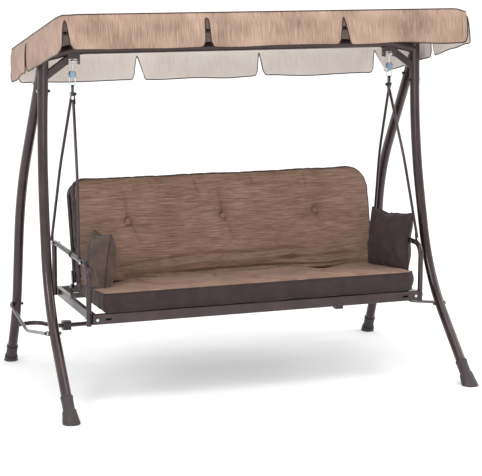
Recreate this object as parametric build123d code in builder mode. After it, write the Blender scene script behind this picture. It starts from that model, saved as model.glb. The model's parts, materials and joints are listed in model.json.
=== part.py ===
from build123d import *
from math import cos, radians, sin
import os

# Three-seat canopy swing. Millimetres, +Z up, front towards -Y, feet on Z = 0,
# origin on the ground midway between the four feet.

# --- driving dimensions -------------------------------------------------------------

FOOT_X = 995.3           # half the distance between the two side frames at the ground
SPLAY = 1.64             # outward lean of each side frame, degrees
LEG_OD = 48.0
TUBE_WALL = 1.8
POST_OD = 50.0
POST_WALL = 1.9
JOINT_V = 1407.0         # height of the plug joint between front leg and post
POST_TOP_V = 1612.0
PLUG_OD = 46.0
PLUG_LENGTH = 60.0

# Corners of the legs' centre lines, as (depth, height) in the side frame's own plane.
FRONT_FOOT = (-608.0, 0.0)
FRONT_KNEE = (-150.5, 468.0)
FRONT_HIP = (0.0, 1108.0)
REAR_FOOT = (608.0, 0.0)
REAR_KNEE = (487.5, 285.5)
REAR_HIP = (434.6, 890.0)
REAR_TOP = (85.6, 1440.0)
LEG_END_V = 38.0         # the legs stop this far above the ground, inside their boots
FRONT_BRACE = (-275.0, 338.0)
REAR_BRACE = (491.0, 318.0)
BRACE_BEND = (130.0, 262.0)

BEAM_Z = 1619.0
BEAM_OD = 46.0
SIDE_BAR_OD = 50.0
BEAM_JOINT_X = 765.0
HANGER_X = 813.0         # where the swing hangs, each side of the middle
HANGER_Z = 1565.0        # height of the swing's axis
ROD_TOP_Z = 1412.0

CROSSBAR_Z = 200.0
CROSSBAR_Y = 440.0
CLAMP_X = 745.0

ARM_X = 840.0
ARM_OD = 25.0
ARM_TOP_Z = 660.0
ARM_FRONT_Y = -350.0
ARM_REAR_Y = 282.0
ROD_FRONT_Y = -268.0
ROD_REAR_Y = 255.0
ROD_OD = 14.0

RAIL_TOP_Z = 430.0
RAIL_WALL = 2.0
SEAT_FRONT_Y = -372.0
SEAT_REAR_Y = 330.0
RAIL_OUT_X = 826.0

RECLINE_Y = 170.0        # axis of the backrest's hinge
RECLINE_Z = 455.0
LEAN = 14.0              # backrest's lean at rest, degrees from vertical
BACK_TUBE_OD = 22.0
BACK_TUBE_X = 765.0
BACK_TOP = 500.0

SEAT_CUSHION_X = 785.0
BACK_CUSHION_X = 770.0
PILLOW_SIDE = 270.0
PILLOW_THICK = 100.0

CANOPY_PIVOT_Z = 1660.0
CANOPY_TILT = 12.8       # canopy's slope at rest, front edge up, degrees
CANOPY_HALF_X = 992.0
CANOPY_HALF_Y = 517.0
CANOPY_TUBE_OD = 19.0
CANOPY_TUBE_X = 970.0
CANOPY_TUBE_H = 31.5     # height of the canopy's tubes above its pivot
CLOTH = 3.0
VALANCE_DROP = 161.0

BOLT_R = 4.0
HEAD_FLAT_R = 6.5
HEAD_HEIGHT = 5.5
NUT_HEIGHT = 7.0
GAP = 0.3                # between pieces that only lie close together
RUNNING = 0.05           # radial clearance of a pin that turns in its hole

os.makedirs("parts", exist_ok=True)

SIDE = Plane(
    origin=(FOOT_X, 0, 0),
    x_dir=(0, 1, 0),
    z_dir=(cos(radians(SPLAY)), 0, sin(radians(SPLAY))),
)
BACK = Plane(
    origin=(0, RECLINE_Y, RECLINE_Z),
    x_dir=(1, 0, 0),
    z_dir=(0, -cos(radians(LEAN)), sin(radians(LEAN))),
)
CANOPY = Plane(
    origin=(0, 0, CANOPY_PIVOT_Z),
    x_dir=(1, 0, 0),
    z_dir=(0, sin(radians(CANOPY_TILT)), cos(radians(CANOPY_TILT))),
)


def keep(shape, name):
    """Label one finished piece and write its STEP file."""
    shape.label = name
    export_step(shape, f"parts/{name}.step")


def keep_pair(shape, name):
    """Write a right-hand piece and its mirror image on the left."""
    keep(shape, f"{name}_right")
    keep(mirror(shape, about=Plane.YZ), f"{name}_left")


def keep_group(shape, name):
    """Write two small like pieces, right and left, as one node of separate solids."""
    solids = shape.solids()
    keep(Part() + solids + [mirror(solid, about=Plane.YZ) for solid in solids], name)


def largest(part):
    """The largest solid of a part, without the slivers that a cut leaves."""
    return Part() + part.solids().sort_by(SortBy.VOLUME)[-1]


def on(plane, x, y, z=0.0):
    """World position of a point given in a plane's own coordinates."""
    return plane.from_local_coords(Vector(x, y, z))


def sweep_ring(path, outer, wall):
    """A round tube of even wall along a wire, or a solid rod where wall is 0."""
    with BuildPart() as tube:
        with BuildSketch(Plane(origin=path @ 0, z_dir=path % 0)):
            Circle(outer / 2)
            if wall:
                Circle(outer / 2 - wall, mode=Mode.SUBTRACT)
        sweep(path=path)
    return tube.part


def straight(start, end, radius, bore=0.0):
    """A straight round bar or tube between two points."""
    run = Vector(*end) - Vector(*start)
    with BuildPart() as solid:
        with BuildSketch(Plane(origin=Vector(*start), z_dir=run.normalized())):
            Circle(radius)
            if bore:
                Circle(bore, mode=Mode.SUBTRACT)
        extrude(amount=run.length)
    return solid.part


def block(low, high):
    """A box given by its lowest and highest corners."""
    size = [b - a for a, b in zip(low, high)]
    with BuildPart() as solid:
        with Locations(tuple(low)):
            Box(*size, align=(Align.MIN, Align.MIN, Align.MIN))
    return solid.part


def box_tube(low, high, along, corner=3.0):
    """A thin-walled rectangular tube that fills a box and is open along one axis."""
    middle = [(a + b) / 2 for a, b in zip(low, high)]
    size = [b - a for a, b in zip(low, high)]
    start = list(middle)
    start[along] = low[along]
    normal = [0, 0, 0]
    normal[along] = 1
    across = (along + 1) % 3
    x_dir = [0, 0, 0]
    x_dir[across] = 1
    with BuildPart() as tube:
        with BuildSketch(Plane(origin=tuple(start), x_dir=tuple(x_dir), z_dir=tuple(normal))):
            wide, high_side = size[across], size[(along + 2) % 3]
            RectangleRounded(wide, high_side, corner)
            RectangleRounded(
                wide - 2 * RAIL_WALL, high_side - 2 * RAIL_WALL, corner - 1.5, mode=Mode.SUBTRACT
            )
        extrude(amount=size[along])
    return tube.part


def bolt(plane, length):
    """Hex bolt: its head stands on the plane and its shank runs back from it."""
    with BuildPart() as solid:
        with BuildSketch(plane):
            RegularPolygon(HEAD_FLAT_R, 6, major_radius=False)
        extrude(amount=HEAD_HEIGHT)
        with BuildSketch(plane):
            Circle(BOLT_R)
        extrude(amount=-length)
    return solid.part


def cap_nut(plane):
    """Domed nut standing on the plane, with a blind bore for the shank's end."""
    with BuildPart() as solid:
        with BuildSketch(plane):
            RegularPolygon(HEAD_FLAT_R, 6, major_radius=False)
        extrude(amount=NUT_HEIGHT)
        with BuildSketch(plane.offset(NUT_HEIGHT - 1)):
            Circle(HEAD_FLAT_R - 0.3)
        extrude(amount=4, taper=25)
        with BuildSketch(plane):
            Circle(BOLT_R + RUNNING)
        extrude(amount=NUT_HEIGHT, mode=Mode.SUBTRACT)
    return solid.part


def plate(corners, x_low, thick, holes, hole_r):
    """A flat plate across X, hulled round circles given as (y, z, radius)."""
    with BuildPart() as solid:
        with BuildSketch(Plane.YZ.offset(x_low)):
            for y, z, radius in corners:
                with Locations((y, z)):
                    Circle(radius)
            make_hull()
            with Locations(*holes):
                Circle(hole_r, mode=Mode.SUBTRACT)
        extrude(amount=thick)
    return solid.part


def side_plane(y, v, out, facing=1):
    """Plane across the right side frame's normal, facing outward (1) or inward (-1)."""
    return Plane(origin=on(SIDE, y, v, out), x_dir=(0, 1, 0), z_dir=SIDE.z_dir * facing)


def side_hole(y, v, reach=40.0, radius=BOLT_R + 0.2):
    """A cutter for a bolt hole through the right side frame."""
    return straight(on(SIDE, y, v, -reach), on(SIDE, y, v, reach), radius)


# --- side frames: two legs each, in one leaning plane ---------------------------------

def along(start, end, height):
    """Point at the given height on the line from start to end."""
    share = (height - start[1]) / (end[1] - start[1])
    return start[0] + share * (end[0] - start[0]), height


LEG_BORE = LEG_OD / 2 - TUBE_WALL
front_end = along(FRONT_KNEE, FRONT_FOOT, LEG_END_V)
rear_end = along(REAR_KNEE, REAR_FOOT, LEG_END_V)
rear_up = (Vector(*REAR_TOP) - Vector(*REAR_HIP)).normalized()
rear_plug_end = Vector(*REAR_TOP) + rear_up * PLUG_LENGTH
rear_bolt_at = Vector(*REAR_TOP) + rear_up * 24
REAR_BOLT = (rear_bolt_at.X, rear_bolt_at.Y)
FRONT_BOLT = (0.0, JOINT_V + 24)

with BuildLine(SIDE) as front_leg_line:
    FilletPolyline((0, JOINT_V), FRONT_HIP, FRONT_KNEE, front_end, radius=[2250, 850])

with BuildPart() as front_leg:
    add(sweep_ring(front_leg_line.line, LEG_OD, TUBE_WALL))
    add(straight(on(SIDE, 0, JOINT_V - 12), on(SIDE, 0, JOINT_V + PLUG_LENGTH),
                 PLUG_OD / 2, LEG_BORE - 1.2))
    add(side_hole(*FRONT_BOLT), mode=Mode.SUBTRACT)
    add(side_hole(*FRONT_BRACE), mode=Mode.SUBTRACT)
keep_pair(front_leg.part, "front_leg")

with BuildLine(SIDE) as rear_leg_line:
    FilletPolyline(REAR_TOP, REAR_HIP, REAR_KNEE, rear_end, radius=[940, 800])

rear_start = Vector(*REAR_TOP) - rear_up * 12
with BuildPart() as rear_leg:
    add(sweep_ring(rear_leg_line.line, LEG_OD, TUBE_WALL))
    add(straight(on(SIDE, rear_start.X, rear_start.Y), on(SIDE, rear_plug_end.X, rear_plug_end.Y),
                 PLUG_OD / 2, LEG_BORE - 1.2))
    add(side_hole(*REAR_BOLT), mode=Mode.SUBTRACT)
    add(side_hole(*REAR_BRACE), mode=Mode.SUBTRACT)
keep_pair(rear_leg.part, "rear_leg")

# --- moulded boots: a collared sleeve up the leg and a flared shoe with a flat sole ----

BOOT_SLEEVE_R = 27.5
BOOT_COLLAR_R = 29.0
BOOT_SOLE_R = 41.0       # half length of every sole, front to rear
boot_solids = []
# The rear boots are the shorter moulding: lower in the sleeve and the shoe, and narrower.
# Each row: foot, knee, end of the leg, top of the sleeve, shoulder of the shoe, half width.
for foot, knee, leg_end, top, shoulder, half_width in (
    (FRONT_FOOT, FRONT_KNEE, front_end, 138.0, 62.0, 41.0),
    (REAR_FOOT, REAR_KNEE, rear_end, 90.0, 30.0, 34.0),
):
    ground = on(SIDE, *foot)
    up_leg = Plane(origin=ground, x_dir=SIDE.z_dir, z_dir=(on(SIDE, *knee) - ground).normalized())
    with BuildPart() as boot:
        with BuildSketch(up_leg.offset(shoulder - 4)):
            Circle(BOOT_SLEEVE_R)
        extrude(amount=top - shoulder + 4)
        with BuildSketch(up_leg.offset(top - 9)):
            Circle(BOOT_COLLAR_R)
        extrude(amount=9)
        with BuildSketch(up_leg.offset(shoulder)):
            Circle(BOOT_SLEEVE_R + 5)
        with BuildSketch(Plane(origin=ground, x_dir=(0, 1, 0), z_dir=(0, 0, 1))):
            Ellipse(BOOT_SOLE_R, half_width)
        loft()
        bore_start = on(SIDE, *leg_end)
        add(straight(bore_start, bore_start + up_leg.z_dir * 200, LEG_OD / 2 + GAP / 2),
            mode=Mode.SUBTRACT)
    boot_solids += boot.part.solids()
keep_group(Part() + boot_solids, "boots")

# --- upper corners: post, stub for the rear leg, side bar, brace and hanger bracket ----

post_low = on(SIDE, 0, JOINT_V)
post_high = on(SIDE, 0, POST_TOP_V)
post_solid = straight(on(SIDE, 0, JOINT_V - 10), on(SIDE, 0, POST_TOP_V + 10), POST_OD / 2)
with BuildPart() as post:
    add(straight(post_low, post_high, POST_OD / 2, POST_OD / 2 - POST_WALL))
    add(side_hole(*FRONT_BOLT), mode=Mode.SUBTRACT)
keep_group(post.part, "upper_posts")

CAP_THICK = 6.0
with BuildPart() as post_cap:
    add(straight(post_high, on(SIDE, 0, POST_TOP_V + CAP_THICK), POST_OD / 2 + 0.5))
    add(straight(on(SIDE, 0, POST_TOP_V - 14), post_high, POST_OD / 2 - POST_WALL - 0.1))
keep_group(post_cap.part, "post_caps")

with BuildLine(Plane.XZ) as side_bar_line:
    FilletPolyline((947, 1588.9), (820, BEAM_Z), (BEAM_JOINT_X, BEAM_Z), radius=60)
side_bar_solid = sweep_ring(side_bar_line.line, SIDE_BAR_OD, 0)
with BuildPart() as side_bar:
    add(sweep_ring(side_bar_line.line, SIDE_BAR_OD, POST_WALL))
    add(post_solid, mode=Mode.SUBTRACT)
    add(post_cap.part, mode=Mode.SUBTRACT)
keep_group(largest(side_bar.part), "side_bars")

stub_end = Vector(*REAR_TOP) + rear_up * 170
with BuildPart() as rear_stub:
    add(straight(on(SIDE, *REAR_TOP), on(SIDE, stub_end.X, stub_end.Y),
                 POST_OD / 2, POST_OD / 2 - POST_WALL))
    add(post_solid, mode=Mode.SUBTRACT)
    add(side_bar_solid, mode=Mode.SUBTRACT)
    add(block((800, -80, 1400), (1100, 0, 1700)), mode=Mode.SUBTRACT)
    add(side_hole(*REAR_BOLT), mode=Mode.SUBTRACT)
keep_group(largest(rear_stub.part), "rear_stubs")

with BuildPart() as top_beam:
    with BuildSketch(Plane(origin=(-BEAM_JOINT_X - 42, 0, BEAM_Z), z_dir=(1, 0, 0))):
        Circle(BEAM_OD / 2)
        Circle(BEAM_OD / 2 - TUBE_WALL, mode=Mode.SUBTRACT)
    extrude(amount=2 * (BEAM_JOINT_X + 42))
keep(top_beam.part, "top_beam")

BRACKET_LOW = (780.0, -21.0, 1551.0)
BRACKET_HIGH = (838.0, 21.0, 1612.0)
BRACKET_WALL = 3.0
with BuildPart() as hanger_bracket:
    add(block(BRACKET_LOW, BRACKET_HIGH))
    add(block((BRACKET_LOW[0] + BRACKET_WALL, BRACKET_LOW[1] + BRACKET_WALL, 1540),
              (BRACKET_HIGH[0] - BRACKET_WALL, BRACKET_HIGH[1] - BRACKET_WALL, 1700)),
        mode=Mode.SUBTRACT)
    add(block((BRACKET_LOW[0] + BRACKET_WALL, -40, 1540),
              (BRACKET_HIGH[0] - BRACKET_WALL, 40, HANGER_Z + 13)), mode=Mode.SUBTRACT)
    add(side_bar_solid, mode=Mode.SUBTRACT)
    add(straight((770, 0, HANGER_Z), (850, 0, HANGER_Z), BOLT_R + 0.02), mode=Mode.SUBTRACT)
keep_group(largest(hanger_bracket.part), "hanger_brackets")

brace_foot = Vector(940, 0, 1499.7)
brace_head = Vector(800, 0, 1599.7)
brace_plane = Plane(origin=brace_foot, x_dir=(0, 1, 0), z_dir=(brace_head - brace_foot).normalized())
with BuildPart() as corner_brace:
    with BuildSketch(brace_plane):
        RectangleRounded(26, 35, 3)
        RectangleRounded(26 - 2 * RAIL_WALL, 35 - 2 * RAIL_WALL, 1.5, mode=Mode.SUBTRACT)
    extrude(amount=(brace_head - brace_foot).length)
    add(post_solid, mode=Mode.SUBTRACT)
    add(side_bar_solid, mode=Mode.SUBTRACT)
    add(block((740, -60, 1400), (BRACKET_HIGH[0], 60, 1700)), mode=Mode.SUBTRACT)
keep_group(largest(corner_brace.part), "corner_braces")

with BuildPart() as hanger_pins:
    for sign in (-1, 1):
        add(straight((sign * (BRACKET_LOW[0] - 4), 0, HANGER_Z),
                     (sign * (BRACKET_HIGH[0] + 4), 0, HANGER_Z), BOLT_R))
keep(hanger_pins.part, "hanger_pins")

# --- side braces, rear crossbar and its clamps -----------------------------------------

BRACE_OUT = LEG_OD / 2 + 8.5     # the brace lies on the outer side of both legs
with BuildLine(SIDE.offset(BRACE_OUT)) as brace_line:
    FilletPolyline((REAR_BRACE[0] - 22, REAR_BRACE[1] - 3.4), BRACE_BEND,
                   (FRONT_BRACE[0] + 22, FRONT_BRACE[1] - 4), radius=170)
with BuildPart() as side_brace:
    add(sweep_ring(brace_line.line, 16, 1.5))
    for bolt_at, tube_at in (
        (REAR_BRACE, (REAR_BRACE[0] - 34, REAR_BRACE[1] - 5.2)),
        (FRONT_BRACE, (FRONT_BRACE[0] + 34, FRONT_BRACE[1] - 6.3)),
    ):
        with BuildSketch(SIDE.offset(LEG_OD / 2 + GAP)):
            with Locations(bolt_at, tube_at):
                Circle(11)
            make_hull()
            with Locations(bolt_at):
                Circle(BOLT_R + 0.2, mode=Mode.SUBTRACT)
        extrude(amount=5)
keep_group(side_brace.part, "side_braces")

with BuildLine(Plane.XY.offset(CROSSBAR_Z)) as crossbar_line:
    FilletPolyline((-985, 524), (-868, 556), (-805, CROSSBAR_Y), (805, CROSSBAR_Y), (868, 556),
                   (985, 524), radius=[70, 60, 60, 70])
with BuildPart() as rear_crossbar:
    add(sweep_ring(crossbar_line.line, 22, 1.6))
    for sign in (-1, 1):
        low, high = on(SIDE, *REAR_FOOT), on(SIDE, *REAR_KNEE)
        add(straight((sign * low.X, low.Y, low.Z), (sign * high.X, high.Y, high.Z), LEG_OD / 2 + 1),
            mode=Mode.SUBTRACT)
keep(largest(rear_crossbar.part), "rear_crossbar")

with BuildPart() as crossbar_clamps:
    with Locations((-CLAMP_X, CROSSBAR_Y, CROSSBAR_Z), (CLAMP_X, CROSSBAR_Y, CROSSBAR_Z)):
        Box(42, 44, 46)
    chamfer(crossbar_clamps.edges().filter_by(Axis.X), 5)
    for sign in (-1, 1):
        add(straight((sign * (CLAMP_X - 30), CROSSBAR_Y, CROSSBAR_Z),
                     (sign * (CLAMP_X + 30), CROSSBAR_Y, CROSSBAR_Z), 11.1), mode=Mode.SUBTRACT)
keep(crossbar_clamps.part, "crossbar_clamps")

with BuildPart() as frame_bolts:
    add(bolt(side_plane(*FRONT_BOLT, POST_OD / 2), POST_OD + 6))
    add(bolt(side_plane(*REAR_BOLT, POST_OD / 2), POST_OD + 6))
    for place in (FRONT_BRACE, REAR_BRACE):
        add(bolt(side_plane(*place, LEG_OD / 2 + GAP + 5), LEG_OD + GAP + 11))
    mirror(about=Plane.YZ)
keep(frame_bolts.part, "frame_bolts")

with BuildPart() as frame_cap_nuts:
    add(cap_nut(side_plane(*FRONT_BOLT, -POST_OD / 2, -1)))
    add(cap_nut(side_plane(*REAR_BOLT, -POST_OD / 2, -1)))
    for place in (FRONT_BRACE, REAR_BRACE):
        add(cap_nut(side_plane(*place, -LEG_OD / 2, -1)))
    mirror(about=Plane.YZ)
keep(frame_cap_nuts.part, "frame_cap_nuts")

# --- hangers: eye, bearing housing, shackle and knuckle above the four rods -------------

HOUSING_LOW_Z = 1489.0
HOUSING_HIGH_Z = 1519.0
with BuildPart() as hanger_eye:
    add(straight((HANGER_X - 3.5, 0, HANGER_Z), (HANGER_X + 3.5, 0, HANGER_Z), 10))
    add(straight((HANGER_X, 0, HANGER_Z - 7), (HANGER_X, 0, HOUSING_HIGH_Z), 3))
    add(straight((HANGER_X - 5, 0, HANGER_Z), (HANGER_X + 5, 0, HANGER_Z), BOLT_R + RUNNING),
        mode=Mode.SUBTRACT)
keep_group(hanger_eye.part, "hanger_eyes")

with BuildPart() as bearing_housing:
    with Locations((HANGER_X, 0, (HOUSING_LOW_Z + HOUSING_HIGH_Z) / 2)):
        Box(26, 22, HOUSING_HIGH_Z - HOUSING_LOW_Z)
    chamfer(bearing_housing.edges().filter_by(Axis.Z), 3)
    with Locations((HANGER_X, 0, (HOUSING_LOW_Z + HOUSING_HIGH_Z) / 2)):
        Cylinder(10, 32, rotation=(0, 90, 0))
keep_group(bearing_housing.part, "bearing_housings")

SHACKLE_HALF = 13.5
SHACKLE_BOTTOM_Z = 1446.5
with BuildLine(Plane.XZ) as shackle_line:
    Line((HANGER_X - SHACKLE_HALF, HOUSING_LOW_Z + 8),
         (HANGER_X - SHACKLE_HALF, SHACKLE_BOTTOM_Z + SHACKLE_HALF))
    ThreePointArc((HANGER_X - SHACKLE_HALF, SHACKLE_BOTTOM_Z + SHACKLE_HALF),
                  (HANGER_X, SHACKLE_BOTTOM_Z),
                  (HANGER_X + SHACKLE_HALF, SHACKLE_BOTTOM_Z + SHACKLE_HALF))
    Line((HANGER_X + SHACKLE_HALF, SHACKLE_BOTTOM_Z + SHACKLE_HALF),
         (HANGER_X + SHACKLE_HALF, HOUSING_LOW_Z + 8))
with BuildPart() as shackle:
    add(sweep_ring(shackle_line.line, 5, 0))
    add(bearing_housing.part, mode=Mode.SUBTRACT)
keep_group(largest(shackle.part), "shackles")

with BuildPart() as knuckle:
    add(plate([(0, SHACKLE_BOTTOM_Z, 9), (0, ROD_TOP_Z, 9)], HANGER_X - 5, 10,
              [(0, ROD_TOP_Z)], BOLT_R + 0.2))
    add(straight((HANGER_X - 6, 0, SHACKLE_BOTTOM_Z), (HANGER_X + 6, 0, SHACKLE_BOTTOM_Z), 4.6),
        mode=Mode.SUBTRACT)
keep_group(knuckle.part, "hanger_knuckles")

# --- hanger rods: bent tubes with flattened ends, bolted to knuckle and arm -------------

ROD_BEND = (150.0, 1057.6)
ROD_LOW_X = 862.0
TAB = 4.0
ARM_OUT_X = ARM_X + ARM_OD / 2
for name, arm_y, inner in (("front", ROD_FRONT_Y, True), ("rear", ROD_REAR_Y, False)):
    sign = -1 if arm_y < 0 else 1
    top_x = HANGER_X - 3 if inner else HANGER_X + 3
    run = Vector((ROD_LOW_X - top_x) / (ROD_TOP_Z - ARM_TOP_Z), 0, -1)
    rod_plane = Plane(origin=(top_x, 0, ROD_TOP_Z), x_dir=(0, sign, 0),
                      z_dir=Vector(0, sign, 0).cross(run).normalized())
    drop = run.length
    top = (27 * ROD_BEND[0] / (ROD_TOP_Z - ROD_BEND[1]), 27 * drop)
    bend = (ROD_BEND[0], (ROD_TOP_Z - ROD_BEND[1]) * drop)
    reach = abs(arm_y) - ROD_BEND[0]
    fall = ROD_BEND[1] - ARM_TOP_Z
    low_y = abs(arm_y) - reach * 15 / fall
    low = (low_y, (ROD_TOP_Z - ARM_TOP_Z - 15) * drop)
    with BuildLine(rod_plane) as rod_line:
        FilletPolyline(top, bend, low, radius=900)
    tab_x = HANGER_X - 5 - GAP - TAB if inner else HANGER_X + 5 + GAP
    with BuildPart() as rod:
        add(sweep_ring(rod_line.line, ROD_OD, 1.5))
        add(plate([(0, ROD_TOP_Z, 8.5), (sign * 17, ROD_TOP_Z - 40, 6.5)], tab_x, TAB,
                  [(0, ROD_TOP_Z)], BOLT_R + 0.1))
        add(plate([(arm_y, ARM_TOP_Z, 9.5), (arm_y - sign * 10, ARM_TOP_Z + 34, 6.5)],
                  ARM_OUT_X + GAP, TAB, [(arm_y, ARM_TOP_Z)], BOLT_R + 0.1))
    keep_pair(rod.part, f"{name}_rod")

knuckle_side = 5 + GAP + TAB
tab_side = ARM_OUT_X + GAP + TAB
with BuildPart() as rod_bolts:
    add(bolt(Plane(origin=(HANGER_X + knuckle_side, 0, ROD_TOP_Z), z_dir=(1, 0, 0)),
             2 * knuckle_side + 6))
    for y in (ROD_FRONT_Y, ROD_REAR_Y):
        add(bolt(Plane(origin=(tab_side, y, ARM_TOP_Z), z_dir=(1, 0, 0)),
                 tab_side - ARM_X + ARM_OD / 2 + 6))
    mirror(about=Plane.YZ)
keep(rod_bolts.part, "rod_bolts")

with BuildPart() as rod_cap_nuts:
    add(cap_nut(Plane(origin=(HANGER_X - knuckle_side, 0, ROD_TOP_Z), z_dir=(-1, 0, 0))))
    for y in (ROD_FRONT_Y, ROD_REAR_Y):
        add(cap_nut(Plane(origin=(ARM_X - ARM_OD / 2, y, ARM_TOP_Z), z_dir=(-1, 0, 0))))
    mirror(about=Plane.YZ)
keep(rod_cap_nuts.part, "rod_cap_nuts")

# --- arms and seat frame ---------------------------------------------------------------

ARM_BOLT_Z = 409.0
with BuildLine(Plane.YZ.offset(ARM_X)) as arm_line:
    FilletPolyline((ARM_FRONT_Y, 378), (ARM_FRONT_Y, ARM_TOP_Z), (ARM_REAR_Y, ARM_TOP_Z),
                   (ARM_REAR_Y, 396), radius=[60, 20])
with BuildPart() as arm:
    add(sweep_ring(arm_line.line, ARM_OD, 1.5))
    for y, z in ((ROD_FRONT_Y, ARM_TOP_Z), (ROD_REAR_Y, ARM_TOP_Z),
                 (ARM_FRONT_Y, ARM_BOLT_Z), (ARM_REAR_Y, ARM_BOLT_Z)):
        add(straight((ARM_X - 20, y, z), (ARM_X + 20, y, z), BOLT_R + 0.2), mode=Mode.SUBTRACT)
keep_pair(arm.part, "arm")

with BuildPart() as arm_clips:
    for sign in (-1, 1):
        add(straight((sign * ARM_X, -66, ARM_TOP_Z), (sign * ARM_X, -50, ARM_TOP_Z), 17,
                     ARM_OD / 2 + 0.1))
keep(arm_clips.part, "arm_clips")

FRONT_BOLT_X = 806.0
SLOT_X = 752.0
with BuildPart() as seat_front_rail:
    add(box_tube((-RAIL_OUT_X, SEAT_FRONT_Y, 386), (RAIL_OUT_X, SEAT_FRONT_Y + 26, 434), 0))
    for sign in (-1, 1):
        add(straight((sign * FRONT_BOLT_X, SEAT_FRONT_Y - 5, ARM_BOLT_Z),
                     (sign * FRONT_BOLT_X, SEAT_FRONT_Y + 40, ARM_BOLT_Z), BOLT_R + 0.2),
            mode=Mode.SUBTRACT)
        with BuildSketch(Plane(origin=(sign * SLOT_X, SEAT_FRONT_Y, ARM_BOLT_Z), x_dir=(1, 0, 0),
                               z_dir=(0, -1, 0))):
            SlotOverall(30, 9)
        extrude(amount=-RAIL_WALL - 1, mode=Mode.SUBTRACT)
        add(straight((sign * 800, ARM_FRONT_Y, ARM_BOLT_Z), (sign * 860, ARM_FRONT_Y, ARM_BOLT_Z),
                     BOLT_R + 0.2), mode=Mode.SUBTRACT)
keep(seat_front_rail.part, "seat_front_rail")

RAIL_IN_X = RAIL_OUT_X - 24
with BuildPart() as seat_side_rail:
    add(box_tube((RAIL_IN_X, SEAT_FRONT_Y + 26 + GAP, 388), (RAIL_OUT_X, SEAT_REAR_Y, RAIL_TOP_Z), 1))
    add(straight((790, ARM_REAR_Y, ARM_BOLT_Z), (850, ARM_REAR_Y, ARM_BOLT_Z), BOLT_R + 0.2),
        mode=Mode.SUBTRACT)
keep_pair(seat_side_rail.part, "seat_side_rail")

keep(box_tube((-RAIL_IN_X, 300, 392), (RAIL_IN_X, 326, RAIL_TOP_Z), 0), "seat_rear_rail")
CROSS_REAR_Y = 155.0
keep(box_tube((-RAIL_IN_X, CROSS_REAR_Y - 25, 405), (RAIL_IN_X, CROSS_REAR_Y, RAIL_TOP_Z), 0),
     "seat_cross_rail")

SLAT_R = 8.0
with BuildPart() as seat_slats:
    for x in (-640, -320, 0, 320, 640):
        add(straight((x, SEAT_FRONT_Y + 26 + GAP, RAIL_TOP_Z + SLAT_R),
                     (x, CROSS_REAR_Y, RAIL_TOP_Z + SLAT_R), SLAT_R, SLAT_R - 1.2))
keep(seat_slats.part, "seat_slats")

with BuildPart() as seat_frame_bolts:
    add(bolt(Plane(origin=(FRONT_BOLT_X, SEAT_FRONT_Y, ARM_BOLT_Z), z_dir=(0, -1, 0)), 26))
    for y in (ARM_FRONT_Y, ARM_REAR_Y):
        add(bolt(Plane(origin=(ARM_OUT_X, y, ARM_BOLT_Z), z_dir=(1, 0, 0)), ARM_OD + 9))
    mirror(about=Plane.YZ)
keep(seat_frame_bolts.part, "seat_frame_bolts")

with BuildPart() as rest_pads:
    for x in (-500, 0, 500):
        add(straight((x, 313, RAIL_TOP_Z), (x, 313, RAIL_TOP_Z + 12), 11))
keep(rest_pads.part, "back_rest_pads")

# --- recline hinge and backrest ----------------------------------------------------------

RECLINE_PIN_R = 5.0
BRACKET_X = 783.0
with BuildPart() as recline_brackets:
    with BuildSketch(Plane.YZ.offset(BRACKET_X)):
        with Locations((RECLINE_Y, RECLINE_Z)):
            Circle(14)
        with Locations((CROSS_REAR_Y, 405)):
            Rectangle(29, RECLINE_Z - 405, align=(Align.MIN, Align.MIN))
        with Locations((RECLINE_Y, RECLINE_Z)):
            Circle(RECLINE_PIN_R + 0.02, mode=Mode.SUBTRACT)
    extrude(amount=5)
    mirror(about=Plane.YZ)
keep(recline_brackets.part, "recline_brackets")

with BuildPart() as recline_pins:
    add(straight((773, RECLINE_Y, RECLINE_Z), (BRACKET_X + 5, RECLINE_Y, RECLINE_Z), RECLINE_PIN_R))
    add(straight((BRACKET_X + 5, RECLINE_Y, RECLINE_Z), (BRACKET_X + 10, RECLINE_Y, RECLINE_Z), 9))
    mirror(about=Plane.YZ)
keep(recline_pins.part, "recline_pins")

BACK_LOW = 18.0
with BuildLine(BACK) as back_line:
    FilletPolyline((BACK_TUBE_X, BACK_LOW), (BACK_TUBE_X, BACK_TOP), (-BACK_TUBE_X, BACK_TOP),
                   (-BACK_TUBE_X, BACK_LOW), radius=60)
keep(sweep_ring(back_line.line, BACK_TUBE_OD, 1.6), "backrest_frame")

back_post = straight(on(BACK, BACK_TUBE_X, 0), on(BACK, BACK_TUBE_X, 200), BACK_TUBE_OD / 2)
tab_high = on(BACK, BACK_TUBE_X, 70)
with BuildPart() as recline_tabs:
    add(plate([(RECLINE_Y, RECLINE_Z, 13), (tab_high.Y, tab_high.Z, 9)], 773, 8,
              [(RECLINE_Y, RECLINE_Z)], RECLINE_PIN_R + RUNNING))
    add(back_post, mode=Mode.SUBTRACT)
tab_solid = recline_tabs.part.solids().sort_by(SortBy.VOLUME)[-1]
keep(Part() + [tab_solid, mirror(tab_solid, about=Plane.YZ)], "recline_tabs")

LOWER_RAIL = 48.0
INNER_X = BACK_TUBE_X - BACK_TUBE_OD / 2
keep(straight(on(BACK, -INNER_X, LOWER_RAIL), on(BACK, INNER_X, LOWER_RAIL), 9.5, 8),
     "backrest_lower_rail")

with BuildPart() as back_slats:
    for x in (-600, -300, 0, 300, 600):
        add(straight(on(BACK, x, LOWER_RAIL + 9.5), on(BACK, x, BACK_TOP - BACK_TUBE_OD / 2), 7, 5.8))
keep(back_slats.part, "backrest_slats")

# --- cushions: plain closed forms in the space of the padded pieces ----------------------

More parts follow.
